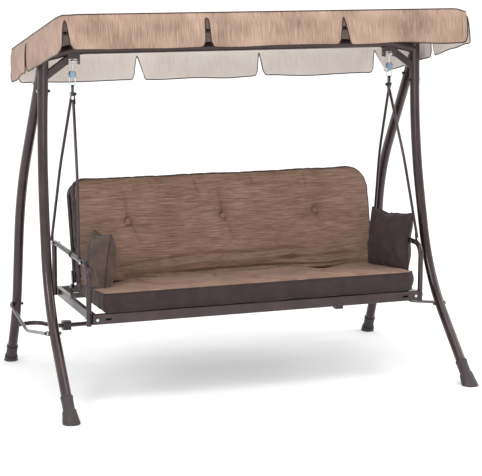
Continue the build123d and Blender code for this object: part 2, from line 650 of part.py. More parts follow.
BACK_CUSHION = (28.0, 520.0, 12.0, 117.0)    # bottom, top, rear and front, from the hinge
with BuildPart() as back_cushion:
    low, high, rear, front = BACK_CUSHION
    with BuildSketch(BACK.offset(rear)):
        with Locations((0, (low + high) / 2)):
            RectangleRounded(2 * BACK_CUSHION_X, high - low, 45)
    extrude(amount=front - rear)
    fillet(back_cushion.edges().group_by(SortBy.LENGTH)[-1], 10)
keep(back_cushion.part, "back_cushion")

SEAT_PROFILE = [(-385, 447), (150, 447), (150, 480), (55, 503), (-385, 530)]
with BuildPart() as seat_cushion:
    with BuildSketch(Plane.YZ.offset(-SEAT_CUSHION_X)):
        Polygon(*SEAT_PROFILE, align=None)
    extrude(amount=2 * SEAT_CUSHION_X)
    fillet(seat_cushion.edges().filter_by(Axis.Z), 20)
keep(seat_cushion.part, "seat_cushion")

for name, centre, turn in (
    ("pillow_left", (-717, -78, 659), (0, 0, 0)),
    ("pillow_right", (750, -88, 662), (0, 3, 9)),
):
    with BuildPart() as pillow:
        with Locations(Location(centre, turn)):
            Box(PILLOW_THICK, PILLOW_SIDE, PILLOW_SIDE)
        fillet(pillow.edges(), 28)
    keep(pillow.part, name)

# --- canopy: tubes, pivot and cloth, drawn square to its own sloping plane --------------

CORNER_R = 70.0
BOW_END = 300.0
TUBE_PLANE = CANOPY.offset(CANOPY_TUBE_H)
TUBE_Y = 500.0
for name, sign in (("front", -1), ("rear", 1)):
    with BuildLine(TUBE_PLANE) as bow_line:
        FilletPolyline((CANOPY_TUBE_X, sign * BOW_END), (CANOPY_TUBE_X, sign * TUBE_Y),
                       (-CANOPY_TUBE_X, sign * TUBE_Y), (-CANOPY_TUBE_X, sign * BOW_END),
                       radius=CORNER_R)
    keep(sweep_ring(bow_line.line, CANOPY_TUBE_OD, 1.5), f"canopy_{name}_bow")

tube_r = CANOPY_TUBE_OD / 2
side_tube_solid = straight(on(TUBE_PLANE, CANOPY_TUBE_X, -BOW_END),
                           on(TUBE_PLANE, CANOPY_TUBE_X, BOW_END), tube_r)
with BuildPart() as canopy_side_tube:
    add(straight(on(TUBE_PLANE, CANOPY_TUBE_X, -BOW_END + GAP),
                 on(TUBE_PLANE, CANOPY_TUBE_X, BOW_END - GAP), tube_r))
    add(straight(on(TUBE_PLANE, CANOPY_TUBE_X, -BOW_END - 45),
                 on(TUBE_PLANE, CANOPY_TUBE_X, BOW_END + 45), tube_r - 1.6))
    add(straight(on(TUBE_PLANE, CANOPY_TUBE_X, -BOW_END - 50),
                 on(TUBE_PLANE, CANOPY_TUBE_X, BOW_END + 50), tube_r - 3), mode=Mode.SUBTRACT)
keep_group(canopy_side_tube.part, "canopy_side_tubes")

middle_x = CANOPY_TUBE_X - tube_r
keep(straight(on(TUBE_PLANE, -middle_x, 0), on(TUBE_PLANE, middle_x, 0), tube_r, tube_r - 1.5),
     "canopy_middle_tube")

PIVOT_R = 5.0
PLATE_X = 951.0
with BuildPart() as canopy_hinge_plates:
    add(plate([(0, CANOPY_PIVOT_Z, 17), (-6, 1620, 14), (6, 1620, 14)], PLATE_X, 5,
              [(0, CANOPY_PIVOT_Z)], PIVOT_R + 0.02))
    add(straight(on(SIDE, 0, 1500), on(SIDE, 0, POST_TOP_V + CAP_THICK), 60), mode=Mode.SUBTRACT)
    mirror(about=Plane.YZ)
keep(canopy_hinge_plates.part, "canopy_hinge_plates")

lug_high = on(CANOPY, 0, 0, CANOPY_TUBE_H)
with BuildPart() as canopy_lugs:
    add(plate([(0, CANOPY_PIVOT_Z, 16), (lug_high.Y, lug_high.Z, 14)], PLATE_X + 5.5, 6,
              [(0, CANOPY_PIVOT_Z)], PIVOT_R + RUNNING))
    add(side_tube_solid, mode=Mode.SUBTRACT)
    add(straight(on(TUBE_PLANE, -middle_x, 0), on(TUBE_PLANE, middle_x, 0), tube_r),
        mode=Mode.SUBTRACT)
    add(block((900, -60, CANOPY_PIVOT_Z + 26), (1000, 60, CANOPY_PIVOT_Z + 60)),
        mode=Mode.SUBTRACT)
    mirror(about=Plane.YZ)
keep(canopy_lugs.part, "canopy_lugs")

with BuildPart() as canopy_pivot_bolts:
    add(straight((PLATE_X, 0, CANOPY_PIVOT_Z), (PLATE_X + 18, 0, CANOPY_PIVOT_Z), PIVOT_R))
    add(straight((PLATE_X - 6, 0, CANOPY_PIVOT_Z), (PLATE_X, 0, CANOPY_PIVOT_Z), 9))
    add(straight((PLATE_X + 12, 0, CANOPY_PIVOT_Z), (PLATE_X + 19, 0, CANOPY_PIVOT_Z), 9))
    mirror(about=Plane.YZ)
keep(canopy_pivot_bolts.part, "canopy_pivot_bolts")

CLOTH_TOP = CANOPY_TUBE_H + tube_r + GAP + CLOTH
with BuildPart() as canopy_top:
    with BuildSketch(CANOPY.offset(CLOTH_TOP - CLOTH)):
        RectangleRounded(2 * CANOPY_HALF_X, 2 * CANOPY_HALF_Y, 25)
    extrude(amount=CLOTH)
keep(canopy_top.part, "canopy_top")


def valance(plane, spans):
    """Cloth panels hanging from the canopy's edge, with rounded lower corners."""
    with BuildPart() as panels:
        with BuildSketch(plane) as outline:
            for low, high in spans:
                with Locations(((low + high) / 2, 0)):
                    Rectangle(high - low, VALANCE_DROP, align=(Align.CENTER, Align.MAX))
            fillet(outline.vertices().group_by(Axis.Y)[0], VALANCE_CORNER_R)
        extrude(amount=CLOTH)
    return panels.part


VALANCE_CORNER_R = 30.0
HANG_H = CLOTH_TOP - CLOTH - GAP
EDGE_Y = CANOPY_HALF_Y - CLOTH
EDGE_X = CANOPY_HALF_X - CLOTH
back_dir = CANOPY.y_dir
front_plane = Plane(origin=on(CANOPY, 0, -EDGE_Y, HANG_H), x_dir=(1, 0, 0), z_dir=-back_dir)
rear_plane = Plane(origin=on(CANOPY, 0, CANOPY_HALF_Y, HANG_H), x_dir=(1, 0, 0), z_dir=-back_dir)
left_plane = Plane(origin=on(CANOPY, -EDGE_X, 0, HANG_H), x_dir=-back_dir, z_dir=(-1, 0, 0))
right_plane = Plane(origin=on(CANOPY, EDGE_X, 0, HANG_H), x_dir=back_dir, z_dir=(1, 0, 0))
keep(valance(front_plane, [(-985, -330), (-312, 330), (348, 985)]), "canopy_front_valance")
keep(valance(rear_plane, [(-985, -345), (-325, 300), (320, 985)]), "canopy_rear_valance")
side_panels = (valance(left_plane, [(-508, -128), (-110, 508)]).solids()
               + valance(right_plane, [(-508, -165), (-147, 508)]).solids())
keep(Part() + side_panels, "canopy_side_valances")
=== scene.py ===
import json
from math import copysign, cos, exp, pi, radians, sin, sqrt, tanh

import bmesh
import bpy
import numpy as np
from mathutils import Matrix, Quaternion, Vector, noise


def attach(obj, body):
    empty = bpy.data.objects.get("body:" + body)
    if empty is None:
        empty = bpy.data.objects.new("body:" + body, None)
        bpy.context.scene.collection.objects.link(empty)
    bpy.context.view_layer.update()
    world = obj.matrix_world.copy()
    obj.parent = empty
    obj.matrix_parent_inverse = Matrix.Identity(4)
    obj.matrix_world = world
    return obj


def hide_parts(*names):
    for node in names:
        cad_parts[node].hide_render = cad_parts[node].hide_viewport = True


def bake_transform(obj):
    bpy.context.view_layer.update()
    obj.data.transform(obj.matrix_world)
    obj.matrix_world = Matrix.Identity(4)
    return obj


# A canopy patio swing: powder-coated tube stand, a padded bench that hangs on four rods,
# a back that folds flat, two loose pillows and a tilting cloth canopy.
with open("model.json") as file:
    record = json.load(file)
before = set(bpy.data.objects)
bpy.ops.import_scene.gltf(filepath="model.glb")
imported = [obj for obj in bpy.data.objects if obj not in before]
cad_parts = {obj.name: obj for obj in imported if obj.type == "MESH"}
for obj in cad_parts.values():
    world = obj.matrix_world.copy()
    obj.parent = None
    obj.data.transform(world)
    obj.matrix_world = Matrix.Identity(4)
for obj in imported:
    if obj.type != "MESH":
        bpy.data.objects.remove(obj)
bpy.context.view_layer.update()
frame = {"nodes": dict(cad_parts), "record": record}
scene = bpy.context.scene

# --- camera -------------------------------------------------------------------------
# A long lens, a little above seat height, looking at the bench from its front left.
CAMERA_PLACE = (-2.9033, -7.9866, 2.2468)
CAMERA_YAW, CAMERA_PITCH, CAMERA_ROLL = radians(20.17), radians(10.45), radians(0.26)
FOCAL_LENGTH, SENSOR_WIDTH = 131.45, 36     # in millimetres
SIGHT_DISTANCE = 400                        # in metres, past the far edge of the floor
lens = bpy.data.cameras.new("camera")
lens.sensor_width = SENSOR_WIDTH
lens.lens = FOCAL_LENGTH
lens.clip_end = SIGHT_DISTANCE
camera = bpy.data.objects.new("camera", lens)
camera.location = CAMERA_PLACE
camera.rotation_mode = "QUATERNION"
looking = Vector((sin(CAMERA_YAW) * cos(CAMERA_PITCH), cos(CAMERA_YAW) * cos(CAMERA_PITCH),
                  -sin(CAMERA_PITCH)))
camera.rotation_quaternion = looking.to_track_quat("-Z", "Y") @ Quaternion((0, 0, 1), CAMERA_ROLL)
scene.collection.objects.link(camera)
scene.camera = camera

# --- tube stand and seat frame -------------------------------------------------------
# Round and rectangular steel tube, welded, then powder coated in a dark bronze brown.
# The CAD nodes keep their shape, and get the coat of paint here.


def srgb(code):
    """A hex colour as linear RGBA."""
    parts = [int(code[k:k + 2], 16) / 255 for k in (0, 2, 4)]
    return tuple(c / 12.92 if c < 0.04045 else ((c + 0.055) / 1.055) ** 2.4 for c in parts) + (1,)


def add(tree, kind, inputs=(), stops=(), **settings):
    """Adds one node, sets its properties and its (place, hex colour) stops, and links or sets
    each named input."""
    made = tree.nodes.new(kind)
    for name, value in settings.items():
        setattr(made, name, value)
    for number, (place, code) in enumerate(stops):
        if number > 1:
            made.color_ramp.elements.new(1.0)
        made.color_ramp.elements[number].position = place
        made.color_ramp.elements[number].color = srgb(code)
    for name, value in dict(inputs).items():
        if isinstance(value, bpy.types.NodeSocket):
            tree.links.new(value, made.inputs[name])
        else:
            made.inputs[name].default_value = value
    return made


def material(name, inputs):
    """A new material, its node tree, and its shader with the inputs that are even all over."""
    made = bpy.data.materials.new(name)
    made.use_nodes = True
    shader = made.node_tree.nodes["Principled BSDF"]
    for socket, value in inputs.items():
        shader.inputs[socket].default_value = value
    return made, made.node_tree, shader


def paint(finish, *nodes):
    """Gives a material to carried-over nodes of the frame."""
    for name in nodes:
        mesh = frame["nodes"][name].data
        mesh.materials.clear()
        mesh.materials.append(finish)


# Baked powder coat with bronze flake: a soft sheen, with a weak clear reflection over it.
ORANGE_PEEL = 0.0022        # powder coat flows out into soft bumps about 2 mm across
HANDLING_MARKS = 0.09       # duller patches a hand's breadth wide
powder_coat, tree, shader = material("bronze_powder_coated_steel", {
    "Metallic": 0.40, "Specular IOR Level": 0.38, "Coat Weight": 0.42, "Coat Roughness": 0.16})
where = add(tree, "ShaderNodeTexCoord").outputs["Object"]
marks = add(tree, "ShaderNodeTexNoise", {"Vector": where, "Scale": 1 / HANDLING_MARKS, "Detail": 4.0})
peel = add(tree, "ShaderNodeTexNoise", {"Vector": where, "Scale": 1 / ORANGE_PEEL, "Detail": 1.0})
tint = add(tree, "ShaderNodeValToRGB", {"Fac": marks.outputs["Fac"]},
           ((0.30, "281a1a"), (0.52, "312121"), (0.75, "3d2a2a")))
tree.links.new(tint.outputs["Color"], shader.inputs["Base Color"])
gloss = add(tree, "ShaderNodeMapRange", {"Value": marks.outputs["Fac"], "To Min": 0.28, "To Max": 0.40})
tree.links.new(gloss.outputs["Result"], shader.inputs["Roughness"])
bump = add(tree, "ShaderNodeBump", {"Height": peel.outputs["Fac"], "Strength": 0.25, "Distance": 0.0003})
tree.links.new(bump.outputs["Normal"], shader.inputs["Normal"])
for part in frame["record"]["subparts"]:
    if part["material_slot"] == "frame_paint":
        paint(powder_coat, part["node"])

# --- moulded boots, caps, clamps and nut covers --------------------------------------
# Injection-moulded polypropylene, dark brown, with the fine spark-eroded grain of the tool.
GRAIN = 0.0016
SCUFFS = 0.03               # feet and caps get rubbed in patches the size of a thumb
moulded, tree, shader = material("brown_moulded_polypropylene", {"Roughness": 0.55, "IOR": 1.49})
where = add(tree, "ShaderNodeTexCoord").outputs["Object"]
grain = add(tree, "ShaderNodeTexNoise", {"Vector": where, "Scale": 1 / GRAIN, "Detail": 2.0})
scuffs = add(tree, "ShaderNodeTexNoise", {"Vector": where, "Scale": 1 / SCUFFS, "Detail": 5.0})
tint = add(tree, "ShaderNodeValToRGB", {"Fac": scuffs.outputs["Fac"]},
           ((0.3, "2a2223"), (0.55, "332a2a"), (0.78, "413838")))
tree.links.new(tint.outputs["Color"], shader.inputs["Base Color"])
bump = add(tree, "ShaderNodeBump", {"Height": grain.outputs["Fac"], "Strength": 0.35, "Distance": 0.0003})
tree.links.new(bump.outputs["Normal"], shader.inputs["Normal"])
paint(moulded, "boots", "post_caps")

# Clamps, clips, nut covers and the pads under the flat back are moulded black nylon, which is
# smoother than the boots and nearly even in colour.
GRAIN_FINE = 0.001
black_nylon, tree, shader = material("black_nylon", {"Roughness": 0.42})
where = add(tree, "ShaderNodeTexCoord").outputs["Object"]
grain = add(tree, "ShaderNodeTexNoise", {"Vector": where, "Scale": 1 / GRAIN_FINE, "Detail": 2.0})
tint = add(tree, "ShaderNodeValToRGB", {"Fac": grain.outputs["Fac"]}, ((0.3, "1a1818"), (0.7, "262323")))
tree.links.new(tint.outputs["Color"], shader.inputs["Base Color"])
bump = add(tree, "ShaderNodeBump", {"Height": grain.outputs["Fac"], "Strength": 0.3, "Distance": 0.0002})
tree.links.new(bump.outputs["Normal"], shader.inputs["Normal"])
paint(black_nylon, "crossbar_clamps", "arm_clips", "frame_cap_nuts", "rod_cap_nuts", "back_rest_pads")

# --- bolts, pins, eyes, shackles and swivel housings ---------------------------------
# Steel with bright zinc plating: a cool grey metal with faint crystal patches.
SPANGLE = 0.006
zinc, tree, shader = material("bright_zinc_plated_steel", {"Metallic": 1.0})
where = add(tree, "ShaderNodeTexCoord").outputs["Object"]
spangle = add(tree, "ShaderNodeTexVoronoi", {"Vector": where, "Scale": 1 / SPANGLE})
tint = add(tree, "ShaderNodeValToRGB", {"Fac": spangle.outputs["Color"]}, ((0.0, "aab4c0"), (1.0, "d8dee6")))
tree.links.new(tint.outputs["Color"], shader.inputs["Base Color"])
gloss = add(tree, "ShaderNodeMapRange", {"Value": spangle.outputs["Distance"], "To Min": 0.2, "To Max": 0.34})
tree.links.new(gloss.outputs["Result"], shader.inputs["Roughness"])
paint(zinc, "hanger_pins", "frame_bolts", "canopy_pivot_bolts", "hanger_eyes", "shackles", "rod_bolts",
      "seat_frame_bolts", "recline_pins")

# The swivel housings are blued zinc castings, darker than the bolts, with a matt skin.
CASTING = 0.003
blue_zinc, tree, shader = material("passivated_zinc_casting", {"Metallic": 1.0})
where = add(tree, "ShaderNodeTexCoord").outputs["Object"]
skin = add(tree, "ShaderNodeTexNoise", {"Vector": where, "Scale": 1 / CASTING, "Detail": 4.0})
tint = add(tree, "ShaderNodeValToRGB", {"Fac": skin.outputs["Fac"]}, ((0.3, "6f8296"), (0.7, "97abbf")))
tree.links.new(tint.outputs["Color"], shader.inputs["Base Color"])
gloss = add(tree, "ShaderNodeMapRange", {"Value": skin.outputs["Fac"], "To Min": 0.35, "To Max": 0.55})
tree.links.new(gloss.outputs["Result"], shader.inputs["Roughness"])
paint(blue_zinc, "bearing_housings")

# --- seat cushion --------------------------------------------------------------------
# A foam pad in a sewn cover: streaked polyester on top, plain dark boxing round the sides.
# It lies on the seat's slats, thick at the front and thin under the back.


def patch(half_u, half_v, corners, cell):
    """An even grid over a rectangle with rounded corners, whose radii are given lower left and
    right, then upper left and right: its points, its rim in order and its cells."""
    across, up = round(2 * half_u / cell), round(2 * half_v / cell)
    points = []
    for j in range(up + 1):
        for i in range(across + 1):
            u, v = half_u * (2 * i / across - 1), half_v * (2 * j / up - 1)
            radius = corners[2 * (v > 0) + (u > 0)]
            p = max(0.0, (abs(u) - half_u + radius) / radius)
            q = max(0.0, (abs(v) - half_v + radius) / radius)
            if p and q:
                u = copysign(half_u - radius + radius * p * sqrt(1 - q * q / 2), u)
                v = copysign(half_v - radius + radius * q * sqrt(1 - p * p / 2), v)
            points.append((u, v))
    row = across + 1
    rim = (list(range(across)) + [j * row + across for j in range(up)]
           + [up * row + i for i in range(across, 0, -1)] + [j * row for j in range(up, 0, -1)])
    cells = [(j * row + i, j * row + i + 1, (j + 1) * row + i + 1, (j + 1) * row + i)
             for j in range(up) for i in range(across)]
    return points, rim, cells


def new_piece(name, points, faces, slots, *finishes):
    """A smooth mesh piece with its faces turned outward and its materials assigned."""
    mesh = bpy.data.meshes.new(name)
    mesh.from_pydata([tuple(p) for p in points], [], faces)
    for finish in finishes:
        mesh.materials.append(finish)
    mesh.polygons.foreach_set("material_index", slots)
    shell = bmesh.new()
    shell.from_mesh(mesh)
    bmesh.ops.recalc_face_normals(shell, faces=shell.faces)
    shell.to_mesh(mesh)
    shell.free()
    mesh.polygons.foreach_set("use_smooth", [True] * len(mesh.polygons))
    piece = bpy.data.objects.new(name, mesh)
    scene.collection.objects.link(piece)
    return piece


def boxed_shell(name, size, cell, layers, place, *finishes):
    """A closed cover: a front and a rear panel joined by boxing. place(u, v, w) puts each point,
    with w 1 on the front panel and 0 on the rear. Returns the piece and its seams, front to rear."""
    plan, rim, cells = patch(*size, cell)
    count = len(plan)
    points = [place(u, v, 1.0) for u, v in plan] + [place(u, v, 0.0) for u, v in plan]
    seams = [rim]
    for layer in range(1, layers):
        seams.append(list(range(len(points), len(points) + len(rim))))
        points += [place(*plan[k], 1 - layer / layers) for k in rim]
    seams.append([count + k for k in rim])
    faces = cells + [tuple(count + k for k in reversed(c)) for c in cells]
    slots = [0] * len(cells) + [2] * len(cells)
    for near, far in zip(seams, seams[1:]):
        for k in range(len(rim)):
            after = (k + 1) % len(rim)
            faces.append((near[k], far[k], far[after], near[after]))
            slots.append(1)
    return new_piece(name, points, faces, slots, *finishes), seams


def read(piece, what="vertices", value="co"):
    """The piece's vertex places or normals as an array."""
    found = np.empty(len(piece.data.vertices) * 3, np.float32)
    getattr(piece.data, what).foreach_get(value, found)
    return found.reshape(-1, 3).astype(float)


def write(piece, places):
    """Moves the piece's vertices."""
    piece.data.vertices.foreach_set("co", places.astype(np.float32).ravel())
    piece.data.update()


SETTLING_STEPS = 20


def inflate(piece, pressure, cap, held, shrink=0.0, bending=0.5):
    """Swells the cover with its stuffing by cloth simulation. held is (vertices, strength) pairs
    that stay put, and no point moves further than about cap."""
    start = read(piece)
    group = piece.vertex_groups.new(name="held")
    for vertices, strength in held:
        group.add([int(k) for k in vertices], strength, "REPLACE")
    stuffing = piece.modifiers.new("stuffing", "CLOTH")
    cloth = stuffing.settings
    cloth.quality = 5
    cloth.mass = 0.2
    cloth.tension_stiffness = cloth.compression_stiffness = 12
    cloth.bending_stiffness = bending
    cloth.use_pressure = True
    cloth.uniform_pressure_force = pressure
    cloth.shrink_min = shrink
    cloth.effector_weights.gravity = 0
    cloth.vertex_group_mass = "held"
    cloth.pin_stiffness = 1.0
    stuffing.collision_settings.use_collision = False
    for step in range(1, SETTLING_STEPS + 1):
        scene.frame_set(step)
    swollen = piece.evaluated_get(bpy.context.evaluated_depsgraph_get()).data
    moved = np.empty(len(start) * 3, np.float32)
    swollen.vertices.foreach_get("co", moved)
    piece.modifiers.remove(stuffing)
    piece.vertex_groups.remove(group)
    scene.frame_set(1)
    shift = moved.reshape(-1, 3) - start
    length = np.maximum(np.linalg.norm(shift, axis=1), 1e-9)
    write(piece, start + shift * (cap * np.tanh(length / cap) / length)[:, None])


def refine(piece):
    """One subdivision, which keeps the first vertices in their order."""
    finer = piece.modifiers.new("finer", "SUBSURF")
    finer.levels = finer.render_levels = 1
    evaluated = piece.evaluated_get(bpy.context.evaluated_depsgraph_get())
    mesh = bpy.data.meshes.new_from_object(evaluated)
    piece.modifiers.remove(finer)
    piece.data = mesh


def press(piece, route, into, width, depth, taper=True):
    """Presses a crease into the side of the piece that faces against into, along a route of
    points, fading at the route's ends."""
    into = np.array(into)
    places, normals = read(piece), read(piece, "vertex_normals", "vector")
    flat = places - np.outer(places @ into, into)
    route = [np.array(p) - np.dot(p, into) * into for p in route]
    total = sum(np.linalg.norm(b - a) for a, b in zip(route, route[1:]))
    nearest, share = np.full(len(places), 1e9), np.zeros(len(places))
    run = 0.0
    for a, b in zip(route, route[1:]):
        span = b - a
        t = np.clip((flat - a) @ span / (span @ span), 0, 1)
        away = np.linalg.norm(flat - a - t[:, None] * span, axis=1)
        closer = away < nearest
        nearest[closer] = away[closer]
        share[closer] = (run + t[closer] * np.linalg.norm(span)) / total
        run += np.linalg.norm(span)
    fade = np.clip(5 * share * (1 - share), 0, 1) if taper else 1.0
    facing = np.clip(-2 * (normals @ into), 0, 1)
    write(piece, places + np.outer(depth * fade * facing * np.exp(-(nearest / width) ** 2), into))


def tube(name, points, radius, finish, closed=False):
    """A round cord laid through points, as a mesh."""
    curve = bpy.data.curves.new(name, "CURVE")
    curve.dimensions = "3D"
    curve.bevel_depth = radius
    curve.bevel_resolution = 3
    curve.use_fill_caps = True
    line = curve.splines.new("POLY")
    line.points.add(len(points) - 1)
    for point, place in zip(line.points, points):
        point.co = (*place, 1)
    line.use_cyclic_u = closed
    drawn = bpy.data.objects.new(name + "_line", curve)
    scene.collection.objects.link(drawn)
    mesh = bpy.data.meshes.new_from_object(drawn.evaluated_get(bpy.context.evaluated_depsgraph_get()))
    bpy.data.objects.remove(drawn)
    mesh.materials.clear()
    mesh.materials.append(finish)
    mesh.polygons.foreach_set("use_smooth", [True] * len(mesh.polygons))
    mesh.name = name
    piece = bpy.data.objects.new(name, mesh)
    scene.collection.objects.link(piece)
    return piece


# Streaked slub polyester: long uneven yarn streaks across the cushion, over a fine plain weave.
# The real yarns are under half a millimetre, so the finest streaks are drawn 1.4 mm high.
STREAK = (0.120, 0.0024)            # length and height of the broad streaks
YARN = (0.045, 0.0014)              # and of the fine ones
FLAT = 0.60                         # along the cloth's thickness nothing changes
SWAY = 0.0012                       # the weave's lines sway this much, over a hand's breadth


def streaked(name, coordinates, streak, yarn, dark, middle, light, patchy):
    """Slub fabric: uneven streaks of two sizes, given along each coordinate, and slow patches."""
    made, tree, shader = material(name, {"Roughness": 0.86, "Specular IOR Level": 0.25,
                                         "Sheen Weight": 0.08, "Sheen Roughness": 0.5})
    where = add(tree, "ShaderNodeTexCoord").outputs[coordinates]
    waver = add(tree, "ShaderNodeTexNoise", {"Vector": where, "Scale": 1 / 0.09, "Detail": 1.0})
    bend = add(tree, "ShaderNodeVectorMath", {0: waver.outputs["Color"], 1: (SWAY,) * 3},
               operation="MULTIPLY")
    wavy = add(tree, "ShaderNodeVectorMath", {0: where, 1: bend.outputs["Vector"]}, operation="ADD")
    layers = []
    for size, detail in ((streak, 3.0), (yarn, 2.0)):
        scaled = add(tree, "ShaderNodeMapping", {"Vector": wavy.outputs["Vector"],
                                                 "Scale": tuple(1 / s for s in size)})
        layers.append(add(tree, "ShaderNodeTexNoise", {"Vector": scaled.outputs["Vector"], "Scale": 1.0,
                                                       "Detail": detail}).outputs["Fac"])
    clouds = add(tree, "ShaderNodeTexNoise", {"Vector": where, "Scale": 1 / 0.18, "Detail": 2.0})
    both = add(tree, "ShaderNodeMix", {"Factor": 0.42, "A": layers[0], "B": layers[1]})
    cloudy = add(tree, "ShaderNodeMix", {"Factor": patchy, "A": both.outputs["Result"],
                                         "B": clouds.outputs["Fac"]})
    tint = add(tree, "ShaderNodeValToRGB", {"Fac": cloudy.outputs["Result"]},
               ((0.39, dark), (0.50, middle), (0.61, light)))
    tree.links.new(tint.outputs["Color"], shader.inputs["Base Color"])
    bump = add(tree, "ShaderNodeBump", {"Height": both.outputs["Result"], "Strength": 0.45,
                                        "Distance": 0.0012})
    tree.links.new(bump.outputs["Normal"], shader.inputs["Normal"])
    return made


# The same cloth twice: standing up on the back, and lying on the seat, where it is seen at a
# low angle and its streaks are drawn wider. The level copy is also painted lighter than the
# upright one: painted light on the seat's top.
slub_upright = streaked("brown_slub_polyester_upright", "Object", (STREAK[0], FLAT, STREAK[1]),
                        (YARN[0], FLAT, YARN[1]), "5a453a", "7a6052", "967a69", patchy=0.12)
slub_level_painted_lighter = streaked("brown_slub_polyester_level_painted_lighter", "Object", (STREAK[0], 0.0055, FLAT),
                      (YARN[0], 0.0025, FLAT), "634a3c", "8c6d5c", "ad8b77", patchy=0.16)

# Plain-woven dark polyester for boxing and piping, with its threads drawn 2 mm apart.
THREAD = 0.002


def plain_woven(name, dark, light):
    """Plain weave: two crossed sets of threads, and slow colour change."""
    made, tree, shader = material(name, {"Roughness": 0.82, "Specular IOR Level": 0.3,
                                         "Sheen Weight": 0.10, "Sheen Roughness": 0.45})
    where = add(tree, "ShaderNodeTexCoord").outputs["Object"]
    turn = add(tree, "ShaderNodeVectorMath", {0: where, 1: (2 * pi / THREAD,) * 3}, operation="MULTIPLY")
    waves = add(tree, "ShaderNodeVectorMath", {0: turn.outputs["Vector"]}, operation="SINE")
    height = add(tree, "ShaderNodeVectorMath", {0: waves.outputs["Vector"], 1: (1.0, 1.0, 1.0)},
                 operation="DOT_PRODUCT")
    clouds = add(tree, "ShaderNodeTexNoise", {"Vector": where, "Scale": 1 / 0.05, "Detail": 6.0})
    tint = add(tree, "ShaderNodeValToRGB", {"Fac": clouds.outputs["Fac"]}, ((0.3, dark), (0.7, light)))
    tree.links.new(tint.outputs["Color"], shader.inputs["Base Color"])
    bump = add(tree, "ShaderNodeBump", {"Height": height.outputs["Value"], "Strength": 0.3,
                                        "Distance": 0.0004})
    tree.links.new(bump.outputs["Normal"], shader.inputs["Normal"])
    return made


boxing_cloth = plain_woven("dark_brown_polyester", "2a1f20", "362929")
piping_cloth = plain_woven("black_brown_polyester", "251c1c", "332928")

SEAT_MIDDLE, SEAT_HALF_X = 0.012, 0.788
SEAT_FRONT, SEAT_REAR = -0.376, 0.146
SEAT_UNDER = 0.4475
SEAT_CORNER = 0.048
SLATS = (-0.64, -0.32, 0.0, 0.32, 0.64)     # the cushion hangs between these
SLAT_REACH, SLAT_SAG = 0.032, 0.0135
RAIL_REAR_Y = -0.352                        # in front of this, it hangs over the rail
FOLD_Y = 0.055
CELL = 0.0115
PIPING = 0.0032                             # radius of the cord sewn into the seams


# Along the fold with the back, the top sinks or rises a little.
FOLD_WAVES = ((-0.61, 0.09, -0.017), (-0.15, 0.12, 0.002), (0.27, 0.10, 0.009), (0.48, 0.08, -0.013))


def seat_top(y):
    """Height of the seat pad's top along its depth."""
    front, fold, back = (-0.385, 0.528), (FOLD_Y, 0.492), (0.150, 0.474)
    (y0, z0), (y1, z1) = (front, fold) if y < fold[0] else (fold, back)
    return z0 + (z1 - z0) * (y - y0) / (y1 - y0)


def seat_place(u, v, w):
    """Point of the seat cushion: u across, v towards the rear, w up."""
    y = (SEAT_FRONT + SEAT_REAR) / 2 + v
    inside = (1 - (u / SEAT_HALF_X) ** 8) * (1 - (2 * v / (SEAT_REAR - SEAT_FRONT)) ** 6)
    ripple = 0.009 * noise.noise(Vector((u * 7, v * 9, 3.1)))
    crown = 0.003 * inside * w + ripple * inside * w
    for at, reach, rise in FOLD_WAVES:
        crown += rise * w * exp(-((u + SEAT_MIDDLE - at) / reach) ** 2 - ((y - FOLD_Y) / 0.085) ** 2)
    bulge = 0.007 * sin(pi * w)
    resting = max(exp(-((u + SEAT_MIDDLE - slat) / SLAT_REACH) ** 2) for slat in SLATS)
    resting *= min(1.0, max(0.0, (y - RAIL_REAR_Y) / 0.012))
    within = min(1.0, (SEAT_HALF_X - abs(u)) / 0.02, (y - SEAT_FRONT) / 0.010, (SEAT_REAR - y) / 0.03)
    lower = SEAT_UNDER - SLAT_SAG * (1 - resting) * max(0.0, within)
    return (SEAT_MIDDLE + u * (1 + bulge / SEAT_HALF_X), y + bulge * v / 0.26,
            lower + (seat_top(y) - lower) * w + crown)


# The cushion's top takes the level copy of the cloth, painted lighter as painted light.
seat_cushion, seat_seams = boxed_shell(
    "seat_cushion_cover", (SEAT_HALF_X, (SEAT_REAR - SEAT_FRONT) / 2, (SEAT_CORNER,) * 4), CELL, 5,
    seat_place, slub_level_painted_lighter, boxing_cloth, boxing_cloth)
under = [k for k, p in enumerate(read(seat_cushion)) if p[2] < SEAT_UNDER + 0.0005]
inflate(seat_cushion, 4.0, 0.008, [(under, 1.0), (seat_seams[0], 0.6)])
refine(seat_cushion)
places, normals = read(seat_cushion), read(seat_cushion, "vertex_normals", "vector")
side = np.exp(-((np.abs(places[:, 0] - SEAT_MIDDLE) - SEAT_HALF_X) / 0.03) ** 2)
pucker = np.array([noise.noise(Vector((p[1] * 26, p[0] * 5, p[2] * 9))) for p in places])
front_wave = np.array([noise.noise(Vector((p[0] * 7, p[2] * 22, 8.0))) for p in places])
on_front = np.exp(-((places[:, 1] - SEAT_FRONT) / 0.02) ** 2) * (places[:, 2] < 0.52)
write(seat_cushion, places + normals * (0.005 * side * pucker + 0.0065 * on_front * front_wave)[:, None])
SEAT_CREASES = (
    ((-0.52, 0.03), (-0.50, -0.08), (-0.46, -0.26)),
    ((-0.10, 0.04), (-0.13, -0.10)),
    ((0.06, -0.05), (0.02, -0.22), (0.03, -0.30)),
    ((0.36, 0.02), (0.41, -0.12), (0.40, -0.20)),
)
for route in SEAT_CREASES:
    press(seat_cushion, [(x, y, seat_top(y)) for x, y in route], (0, 0, -1), 0.010, 0.0085)
for seam, name in ((seat_seams[0], "upper"), (seat_seams[-1], "lower")):
    line = read(seat_cushion)[seam]
    line[:, 2] += 0.0015 if name == "upper" else -0.0002
    cord = tube(f"seat_{name}_piping", line, PIPING, piping_cloth, closed=True)
    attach(cord, "swing")
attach(seat_cushion, "swing")
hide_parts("seat_cushion")

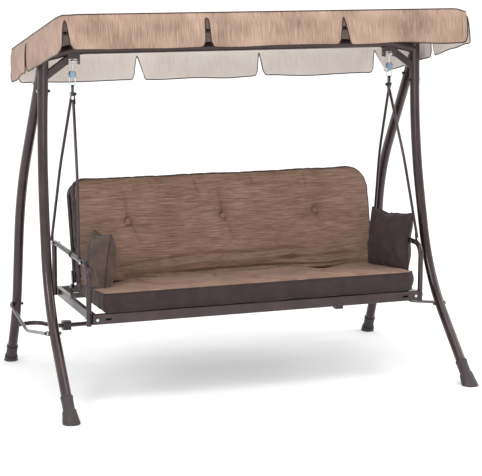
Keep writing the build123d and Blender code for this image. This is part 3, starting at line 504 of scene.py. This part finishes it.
# --- back cushion ---------------------------------------------------------------------
# The same cover over a thicker pad, tied to the tube frame behind it. Three buttons pull its
# face in, and the cloth creases between them and the edges. Its foot folds against the seat.
HINGE_Y, HINGE_Z = 0.170, 0.455
LEAN = radians(14)
BACK_MIDDLE, BACK_HALF_X = 0.011, 0.771
BACK_LOW, BACK_HIGH = 0.008, 0.512
BACK_REAR, BACK_FRONT = 0.016, 0.109
BACK_CORNERS = (0.016, 0.016, 0.062, 0.115)
BACK_CELL = 0.0085
BACK_CROWN = 0.016                  # the face's middle stands this far before its edges
BUTTON_R = 0.0165
BUTTON_PULL, BUTTON_REACH = 0.008, 0.055
BUTTONS = ((-0.500, 0.296), (-0.008, 0.300), (0.488, 0.304))
# Where the foot bulges towards the front or draws back along the fold with the seat.
FOOT_WAVES = ((-0.61, 0.07, 0.022), (-0.37, 0.10, 0.006), (0.27, 0.09, -0.010), (0.48, 0.08, 0.026),
              (0.70, 0.08, 0.008))
CREASES = (
    ((-0.527, 0.498), (-0.511, 0.414), (-0.500, 0.300), (-0.479, 0.264), (-0.434, 0.129)),
    ((-0.036, 0.472), (-0.022, 0.380), (-0.008, 0.300), (0.012, 0.250), (0.045, 0.116)),
    ((0.498, 0.330), (0.490, 0.304), (0.497, 0.246)),
    ((-0.388, 0.508), (-0.372, 0.460)),
    ((-0.155, 0.508), (-0.132, 0.401)),
    ((0.141, 0.508), (0.160, 0.440)),
    ((0.431, 0.500), (0.440, 0.412)),
)


def back_point(x, up, out):
    """World place of a point on the leaning back: up from the hinge and out towards the front."""
    return (x, HINGE_Y + up * sin(LEAN) - out * cos(LEAN), HINGE_Z + up * cos(LEAN) + out * sin(LEAN))


def back_place(u, v, w):
    """Point of the back cushion: u across, v up, w from its rear to its face."""
    up = (BACK_LOW + BACK_HIGH) / 2 + v
    half_v = (BACK_HIGH - BACK_LOW) / 2
    top = max(0.0, v / half_v)
    inside = (1 - abs(u / BACK_HALF_X) ** 7) * (1 - top ** 5)
    foot = exp(-((1 + v / half_v) / 0.30) ** 2)
    x_here = u + BACK_MIDDLE
    wave = sum(push * exp(-((x_here - x) / reach) ** 2) for x, reach, push in FOOT_WAVES)
    pulled = sum(exp(-((u + BACK_MIDDLE - x) ** 2 + (up - h) ** 2) / BUTTON_REACH ** 2) for x, h in BUTTONS)
    face = (BACK_FRONT - BACK_CROWN + BACK_CROWN * inside - BUTTON_PULL * pulled * inside
            + foot * (0.006 + wave))
    out = BACK_REAR + (face - BACK_REAR) * w
    bulge = 1 + 0.006 * sin(pi * w) / 0.24
    return back_point(BACK_MIDDLE + u * (1 + (bulge - 1) * 0.3), (BACK_LOW + BACK_HIGH) / 2 + v * bulge, out)


back_cushion, back_seams = boxed_shell(
    "back_cushion_cover", (BACK_HALF_X, (BACK_HIGH - BACK_LOW) / 2, BACK_CORNERS), BACK_CELL, 6,
    back_place, slub_upright, boxing_cloth, boxing_cloth)
places = read(back_cushion)
towards_front = Vector((0, -cos(LEAN), sin(LEAN)))
height_out = (places - np.array(back_point(0, 0, 0))) @ np.array(towards_front)
tufts = []
for x, up in BUTTONS:
    centre = np.array(back_point(x, up, 0))
    flat = places - centre - np.outer((places - centre) @ np.array(towards_front), towards_front)
    tufts += [k for k in np.nonzero((np.linalg.norm(flat, axis=1) < 0.016) & (height_out > 0.05))[0]]
rear = [k for k in range(len(places)) if height_out[k] < BACK_REAR + 0.001]
inflate(back_cushion, 4.5, 0.020, [(rear, 1.0), (back_seams[0], 0.55), (tufts, 1.0)], shrink=-0.01)
refine(back_cushion)
inward = tuple(-towards_front)
for route in CREASES:
    face = [back_point(x, up, BACK_FRONT) for x, up in route]
    press(back_cushion, face, inward, 0.0048, 0.0085)
    press(back_cushion, face, inward, 0.026, 0.0045)
for x, up in BUTTONS:
    reach = BUTTON_R * 1.15
    ring = [back_point(x + reach * cos(t * pi / 8), up + reach * sin(t * pi / 8), 0) for t in range(17)]
    press(back_cushion, ring, inward, 0.0050, 0.0095, taper=False)
    middle = [back_point(x, up - 0.001, 0), back_point(x, up + 0.001, 0)]
    press(back_cushion, middle, inward, 0.042, 0.0080, taper=False)
SOFT_FOLDS = (
    ((-0.60, 0.075), (-0.38, 0.092), (-0.15, 0.110), (0.10, 0.104), (0.33, 0.112), (0.52, 0.080)),
    ((0.20, 0.070), (0.45, 0.060), (0.74, 0.072)),
)
for route in SOFT_FOLDS:
    press(back_cushion, [back_point(x, up, 0) for x, up in route], inward, 0.013, 0.0150)
    press(back_cushion, [back_point(x, up - 0.030, 0) for x, up in route], inward, 0.016, -0.0100)
# The cloth turns under where it meets the seat.
TUCK = ((-0.44, 0.030), (-0.30, 0.031), (-0.10, 0.034), (0.12, 0.036), (0.27, 0.037), (0.40, 0.028),
        (0.48, 0.024), (0.58, 0.030), (0.70, 0.036))
press(back_cushion, [back_point(x, up, 0) for x, up in TUCK], inward, 0.0060, 0.018)
places, normals = read(back_cushion), read(back_cushion, "vertex_normals", "vector")
side = np.clip((np.abs(places[:, 0] - BACK_MIDDLE) - BACK_HALF_X + 0.02) / 0.02, 0, 1)
side *= np.where(places[:, 0] < 0, 1.0, 0.3)    # the loosely stuffed end puckers more
pucker = np.array([noise.noise(Vector((p[0] * 4, p[1] * 16, p[2] * 34))) for p in places])
broad = np.array([noise.noise(Vector((p[0] * 6, 2.0, p[2] * 8))) for p in places])
write(back_cushion, places + normals * (0.008 * side * pucker + 0.005 * broad)[:, None])


def cross_hinge(piece):
    """Bakes the piece's placement into its mesh."""
    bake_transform(piece)


line = read(back_cushion)[back_seams[0]]
open_line = [p for p in line if (p - np.array(back_point(0, 0, 0))) @ np.array(
    (0, sin(LEAN), cos(LEAN))) > BACK_LOW + 0.03]
first = max(range(len(open_line)), key=lambda k: np.linalg.norm(
    np.array(open_line[k]) - np.array(open_line[k - 1])))
cord = tube("back_front_piping", open_line[first:] + open_line[:first], PIPING, piping_cloth)
cross_hinge(cord)
cord = tube("back_rear_piping", read(back_cushion)[back_seams[-1]], PIPING, piping_cloth, closed=True)
cross_hinge(cord)
cross_hinge(back_cushion)
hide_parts("back_cushion")

# --- buttons --------------------------------------------------------------------------
# Three cloth-covered buttons, each a shallow dome drawn down into the face by its thread.


def turned(name, profile, centre, axis, finish, sides=32):
    """A closed turned form: profile is (radius, height) pairs from axis to axis."""
    axis = Vector(axis).normalized()
    across = axis.orthogonal().normalized()
    other = axis.cross(across)
    points, faces = [], []
    for radius, height in profile:
        for k in range(sides):
            turn = 2 * pi * k / sides
            points.append(Vector(centre) + axis * height
                          + (across * cos(turn) + other * sin(turn)) * max(radius, 1e-5))
    for ring in range(len(profile) - 1):
        for k in range(sides):
            after = (k + 1) % sides
            faces.append((ring * sides + k, ring * sides + after,
                          (ring + 1) * sides + after, (ring + 1) * sides + k))
    faces.append(tuple(range(sides)))
    faces.append(tuple(range((len(profile) - 1) * sides, len(profile) * sides)))
    return new_piece(name, points, faces, [0] * len(faces), finish)


BUTTON_HEIGHT = 0.0065
final = read(back_cushion)
for number, (x, up) in enumerate(BUTTONS, 1):
    centre = np.array(back_point(x, up, 0))
    out = (final - centre) @ np.array(towards_front)
    flat = np.linalg.norm(final - centre - np.outer(out, towards_front), axis=1)
    level = out[(flat < 0.010) & (out > 0.05)].mean()
    dome = [(BUTTON_R * sin(t), BUTTON_HEIGHT * cos(t)) for t in (0.02, 0.3, 0.6, 0.9, 1.15, 1.35, pi / 2)]
    rim = [(BUTTON_R * 0.96, -0.002), (BUTTON_R * 0.80, -0.004), (0.004, -0.004)]
    button = turned(f"back_button_{number}", dome + rim, back_point(x, up, level + 0.001), towards_front,
                    slub_upright)
    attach(button, "backrest")

# --- loose pillows --------------------------------------------------------------------
# Two knife-edge scatter pillows: two square panels sewn face to face and stuffed, so the
# sides pull in and the corners stand out as ears. One leans against each arm.
olive_cloth = plain_woven("olive_brown_polyester", "433630", "56463e")
dark_cloth = plain_woven("dark_chocolate_polyester", "302425", "3b2d2d")
# Each one: half size, place, turn about the upright, lean outward or inward, nod, cloth, the
# cloth of its piping, slot.
PILLOWS = (
    ("left", 0.139, (-0.714, -0.084, 0.622), 0, 9, -6, olive_cloth, boxing_cloth, "olive_cloth"),
    ("right", 0.149, (0.789, -0.100, 0.642), 17, 5, -1, dark_cloth, piping_cloth, "dark_cloth"),
)
PILLOW_THICK, PILLOW_EDGE = 0.112, 0.004
ARM_X, ARM_Z, ARM_CLEAR = 0.840, 0.6475, 0.0145
PILLOW_FOLDS = (
    ((0.030, 0.150), (0.005, 0.085), (-0.030, 0.030), (-0.060, -0.040)),
    ((-0.110, -0.120), (-0.085, -0.060), (-0.075, 0.000)),
    ((0.090, 0.110), (0.060, 0.055), (0.055, -0.030)),
)
for side_name, half, centre, turn, lean, nod, cloth, seam_cloth, slot_name in PILLOWS:
    out = (Quaternion((0, 0, 1), radians(turn)) @ Quaternion((0, 1, 0), radians(lean))
           @ Quaternion((1, 0, 0), radians(nod)))

    def pillow_place(u, v, w):
        """Point of the pillow: u along its depth, v up, w through its thickness."""
        s, t = u / half, v / half
        full = (1 - abs(s) ** 2.6) ** 0.6 * (1 - abs(t) ** 2.6) ** 0.6
        ears = 1 - 0.085 * ((1 - s * s) * abs(t) ** 3 + (1 - t * t) * abs(s) ** 3)
        thick = (w - 0.5) * (PILLOW_EDGE + PILLOW_THICK * full)
        sag = -0.010 * (1 - t) * (1 - s * s) * 0.5
        return Vector(centre) + out @ Vector((thick, u * ears, v * ears + sag))

    pillow, seams = boxed_shell(f"pillow_{side_name}_cover", (half, half, (0.012,) * 4), 0.0068, 2,
                                pillow_place, cloth, cloth, cloth)
    inflate(pillow, 5.0, 0.013, [(seams[1], 0.25)], shrink=-0.05, bending=0.25)
    refine(pillow)
    across = out @ Vector((1, 0, 0))
    places, normals = read(pillow), read(pillow, "vertex_normals", "vector")
    local = (places - np.array(centre)) @ np.array(out.to_matrix())
    rim = np.maximum(np.abs(local[:, 1]), np.abs(local[:, 2])) / half
    folds = np.array([noise.noise(Vector((p[0] * 3, p[1] * 15, p[2] * 15))) for p in local])
    places += normals * (0.045 * np.clip(rim - 0.40, 0, 0.6) * (1.05 - rim) * 1.6 * folds)[:, None]
    write(pillow, places)
    for route in PILLOW_FOLDS:
        line = [Vector(centre) + out @ Vector((0, y, z)) for y, z in route]
        press(pillow, line, across, 0.018, 0.011)
    places = read(pillow)
    # The seat flattens its underside, and the arm's tube presses a groove into its outer face.
    for place in places:
        if abs(place[0] - SEAT_MIDDLE) < SEAT_HALF_X - 0.01:
            place[2] = max(place[2], seat_top(place[1]) + 0.007)
        off_arm = np.array((abs(place[0]) - ARM_X, place[2] - ARM_Z))
        gap = max(1e-6, np.linalg.norm(off_arm))
        if gap < ARM_CLEAR:
            place[0] += copysign(off_arm[0] * (ARM_CLEAR / gap - 1), place[0])
            place[2] += off_arm[1] * (ARM_CLEAR / gap - 1)
    write(pillow, places)
    cord = tube(f"pillow_{side_name}_piping", read(pillow)[seams[1]], 0.0028, seam_cloth, closed=True)
    for piece in (pillow, cord):
        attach(piece, "swing")
    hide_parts(f"pillow_{side_name}")

# --- canopy cover -----------------------------------------------------------------------
# One cut of streaked tan polyester, coated pale inside, stretched over the bows. Its border
# hangs down as a valance, slit into flaps with rounded corners and bound in dark tape.
# Inside the top the cloth is drawn dark brown as painted shade, and the valance's pale inside
# is drawn near white: the pale coating plus painted light shining through the cloth.
PIVOT_Z = 1.660
TILT = radians(12.8)
COVER_X, COVER_Y = 0.992, 0.517
COVER_CORNER = 0.050
COVER_H = 0.0435
DROP = 0.160
CANOPY_CELL = 0.0165
ROWS = 20
FLAP_CORNER = 0.030
DROOP_LEFT, DROOP_RIGHT, DROOP_REACH = 0.007, 0.024, 0.042
TOP_SAG = 0.020
EDGE_ROLL = 0.016                   # the top turns down over the border tubes within this
# Each slit: side, place along it, depth where it starts, its half width at the hem on each
# side of its centre, and how fast it opens (low: a slot, 1: an even wedge).
SLITS = (
    ("front", -0.972, 0.032, 0.016, 0.018, 0.5),
    ("front", -0.326, 0.032, 0.012, 0.013, 0.22),
    ("front", 0.338, 0.040, 0.019, 0.023, 0.8),
    ("front", 0.976, 0.032, 0.008, 0.012, 0.7),
    ("right", -0.067, 0.032, 0.016, 0.014, 0.7),
    ("rear", 0.959, 0.040, 0.044, 0.013, 0.9),
    ("rear", 0.313, 0.048, 0.017, 0.014, 0.8),
    ("rear", -0.343, 0.048, 0.033, 0.018, 0.8),
    ("rear", -0.975, 0.032, 0.022, 0.022, 0.8),
    ("left", 0.119, 0.032, 0.012, 0.012, 0.6),
)


def canopy_point(x, y, h):
    """World place of a point given square to the canopy's slope, from its pivot."""
    return (x, y * cos(TILT) + h * sin(TILT), PIVOT_Z - y * sin(TILT) + h * cos(TILT))


def streaked_cover(name, dark, middle, light):
    """The canopy's cloth: streaks run down the flaps and front to back on top."""
    return streaked(name, "UV", (0.0042, 0.110, 1.0), (0.0022, 0.050, 1.0), dark, middle, light, 0.36)


canopy_outside = streaked_cover("tan_slub_polyester", "735e51", "937a6b", "aa9180")
# Painted shade: a darker copy of the cloth for the inner face of the top.
canopy_underside_painted_shade = streaked_cover("brown_painted_shade_underside", "4d3b33", "59463c", "665146")
# The pale coating, drawn brighter still as painted light shining through the cloth.
canopy_inside = streaked_cover("pale_coating_and_painted_light_polyester", "eadfd5", "f4ebe3", "fbf5ef")

plan, rim, cells = patch(COVER_X, COVER_Y, (COVER_CORNER,) * 4, CANOPY_CELL)
rim_at = [0.0]
for a, b in zip(rim, rim[1:]):
    rim_at.append(rim_at[-1] + sqrt((plan[a][0] - plan[b][0]) ** 2 + (plan[a][1] - plan[b][1]) ** 2))
around = rim_at[-1] + CANOPY_CELL


def rim_index(side, at):
    """The rim's point nearest to a place on one side."""
    spot = {"front": (at, -COVER_Y), "rear": (at, COVER_Y), "left": (-COVER_X, at), "right": (COVER_X, at)}
    x, y = spot[side]
    return min(range(len(rim)), key=lambda k: (plan[rim[k]][0] - x) ** 2 + (plan[rim[k]][1] - y) ** 2)


def corner_droop(x, y):
    """The cloth sinks past the bows' rounded corners, where nothing holds it up."""
    amount = DROOP_RIGHT if x > 0 else DROOP_LEFT
    return amount * exp(-((COVER_X - abs(x)) ** 2 + (COVER_Y - abs(y)) ** 2) / DROOP_REACH ** 2)


def cover_height(x, y):
    """Height of the stretched top: taut over the bows and middle tube, sagging a little between."""
    between = sin(pi * min(1.0, abs(y) / 0.5)) ** 2 * max(0.0, 1 - (x / 0.96) ** 6)
    edge = max(abs(x) - COVER_X + EDGE_ROLL, abs(y) - COVER_Y + EDGE_ROLL, 0.0) / EDGE_ROLL
    ripple = 0.002 * noise.noise(Vector((x * 5, y * 5, 0.0)))
    return COVER_H - TOP_SAG * between - 0.006 * edge ** 2 + ripple * between - corner_droop(x, y)


points = [canopy_point(x, y, cover_height(x, y)) for x, y in plan]
uvs = [(x, y) for x, y in plan]
faces = [tuple(c) for c in cells]
rim_ways = {"front": (0, 1), "right": (1, 1), "rear": (0, -1), "left": (1, -1)}
slits = []
for side, at, start, before, after, power in SLITS:
    index = rim_index(side, at)
    coordinate, way = rim_ways[side]
    slits.append((index, start, before, after, power, way * (at - plan[rim[index]][coordinate])))
slits.sort(key=lambda s: s[0])
hems = []
for number, (first, second) in enumerate(zip(slits, slits[1:] + slits[:1])):
    columns = list(range(first[0], second[0] + 1)) if second[0] > first[0] else (
        list(range(first[0], len(rim))) + list(range(0, second[0] + 1)))
    runs = [0.0]
    for a, b in zip(columns, columns[1:]):
        pa, pb = plan[rim[a]], plan[rim[b]]
        runs.append(runs[-1] + sqrt((pa[0] - pb[0]) ** 2 + (pa[1] - pb[1]) ** 2))
    wide = runs[-1]
    grid = []
    for column, run in zip(columns, runs):
        before, after = plan[rim[column - 1]], plan[rim[(column + 1) % len(rim)]]
        along = Vector((after[0] - before[0], after[1] - before[1], 0)).normalized()
        outward = Vector((along.y, -along.x, 0))
        x, y = plan[rim[column]]
        stack = []
        for r in range(ROWS + 1):
            share = r / ROWS
            slide = 0.0
            deep = share * DROP
            for from_slit, (_, start, wide_before, wide_after, power, shift), way in (
                (run, first, 1), (wide - run, second, -1)):
                half = wide_after if way == 1 else wide_before
                open_share = max(0.0, (deep - start) / (DROP - start))
                slide += shift * min(1.0, deep / start) * exp(-from_slit / 0.06)
                if open_share > 1e-6:
                    slide += way * half * open_share ** power * exp(-from_slit / 0.045)
            from_edge = min(run, wide - run)
            short = FLAP_CORNER - sqrt(max(0.0, FLAP_CORNER ** 2 - (FLAP_CORNER - min(
                from_edge, FLAP_CORNER)) ** 2))
            low = share * (DROP - short * 0.9)
            low += (0.013 if abs(x) > 0.97 else 0.008) * share * noise.noise(Vector((x * 4.1, y * 6.1, 5.0)))
            low -= 0.8 * corner_droop(x, y) * share
            sway = 0.010 * share * noise.noise(Vector((x * 3.5 + 9, y * 3.5, 0.4)))
            flare = 0.006 * share ** 2 * exp(-from_edge / 0.05)
            roll = -0.010 * (1 - share) ** 8 + 0.004 * sin(pi * share)
            spot = Vector((x, y, 0)) + along * slide + outward * (sway + flare + roll + 0.008)
            stack.append(len(points))
            points.append(canopy_point(spot.x, spot.y, cover_height(x, y) - low))
            uvs.append((run + number * 0.77, -COVER_Y - low))
        grid.append(stack)
    for left, right in zip(grid, grid[1:]):
        for r in range(ROWS):
            faces.append((left[r], left[r + 1], right[r + 1], right[r]))
    top_rows = [int(slit[1] / DROP * ROWS + 1e-6) for slit in (first, second)]
    hems.append(grid[0][top_rows[0]:] + [stack[-1] for stack in grid[1:-1]] + grid[-1][:top_rows[1] - 1:-1])
    for column, stack in zip(columns, grid):
        points[stack[0]] = points[rim[column]]

cover = new_piece("canopy_cover", points, faces, [0] * len(cells) + [1] * (len(faces) - len(cells)),
                  canopy_outside, canopy_outside, canopy_underside_painted_shade, canopy_inside)
layer = cover.data.uv_layers.new(name="cloth")
for loop in cover.data.loops:
    layer.data[loop.index].uv = uvs[loop.vertex_index]
hem_lines = [[Vector(points[k]) for k in hem] for hem in hems]
rim_line = [Vector(points[k]) for k in rim]
STITCH = 0.00008                    # points nearer than this are one point
sewing = bmesh.new()
sewing.from_mesh(cover.data)
bmesh.ops.remove_doubles(sewing, verts=sewing.verts, dist=STITCH)
bmesh.ops.recalc_face_normals(sewing, faces=sewing.faces)
cloth_area = sum(face.calc_area() for face in sewing.faces)
sewing.to_mesh(cover.data)
sewing.free()
CLOTH_THICK = 0.0016
thick = cover.modifiers.new("thickness", "SOLIDIFY")
thick.thickness = CLOTH_THICK
thick.offset = -1
# The inner faces take the next two slots: painted shade under the top, and under the valance the pale inside
# with painted light.
thick.material_offset = 2
thick.material_offset_rim = 0
evaluated = cover.evaluated_get(bpy.context.evaluated_depsgraph_get())
cover.data = bpy.data.meshes.new_from_object(evaluated)
cover.modifiers.clear()
refine(cover)
bindings = []
for number, line in enumerate(hem_lines, 1):
    bindings.append(tube(f"valance_binding_{number}", line, 0.0027, piping_cloth))
bindings.append(tube("canopy_edge_piping", rim_line, 0.0022, boxing_cloth, closed=True))
for cord in bindings:
    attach(cord, "canopy")
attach(cover, "canopy")
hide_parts("canopy_top", "canopy_front_valance", "canopy_rear_valance", "canopy_side_valances")

# --- floor and light ---------------------------------------------------------------------
# A pale studio floor under two wide soft boxes and an even white surround.
scene.view_settings.view_transform = "Standard"
studio_floor, tree, shader = material("pale_studio_floor", {"Roughness": 0.9, "Specular IOR Level": 0.1})
where = add(tree, "ShaderNodeTexCoord").outputs["Object"]
dust = add(tree, "ShaderNodeTexNoise", {"Vector": where, "Scale": 2.0, "Detail": 2.0})
tint = add(tree, "ShaderNodeValToRGB", {"Fac": dust.outputs["Fac"]}, ((0.0, "f7f7f8"), (1.0, "fbfbfb")))
tree.links.new(tint.outputs["Color"], shader.inputs["Base Color"])
FLOOR_HALF = 150.0
mesh = bpy.data.meshes.new("floor")
mesh.from_pydata([(x * FLOOR_HALF, y * FLOOR_HALF, 0) for x, y in ((-1, -1), (1, -1), (1, 1), (-1, 1))],
                 [], [(0, 1, 2, 3)])
mesh.materials.append(studio_floor)
floor = bpy.data.objects.new("floor", mesh)
scene.collection.objects.link(floor)

world = bpy.data.worlds.new("surround")
scene.world = world
world.use_nodes = True
tree = world.node_tree
looking_at = add(tree, "ShaderNodeSeparateXYZ", {0: add(tree, "ShaderNodeTexCoord").outputs["Generated"]})
behind = add(tree, "ShaderNodeMapRange", {"Value": looking_at.outputs["Y"], "From Min": -0.9, "From Max": 0.1,
                                          "To Min": 0.98, "To Max": 1.28})
tree.links.new(behind.outputs["Result"], tree.nodes["Background"].inputs["Strength"])
tree.nodes["Background"].inputs["Color"].default_value = (1.0, 1.0, 1.0, 1)
for name, place, aim, size, power in (
    ("left_soft_box", (-4.5, -3.5, 4.0), (0, 0, 0.9), 1.8, 110),
    ("right_soft_box", (5.0, -1.0, 3.4), (0, 0, 0.9), 1.8, 60),
    ("top_soft_box", (0.3, -1.0, 5.0), (0, 0.1, 0.5), 3.0, 85),
    ("low_fill", (-1.0, -4.3, 0.25), (0, 0.5, 1.6), 2.4, 48),
):
    data = bpy.data.lights.new(name, "AREA")
    data.energy = power
    data.size = size
    light = bpy.data.objects.new(name, data)
    light.location = place
    light.rotation_mode = "QUATERNION"
    light.rotation_quaternion = (Vector(aim) - Vector(place)).to_track_quat("-Z", "Y")
    scene.collection.objects.link(light)
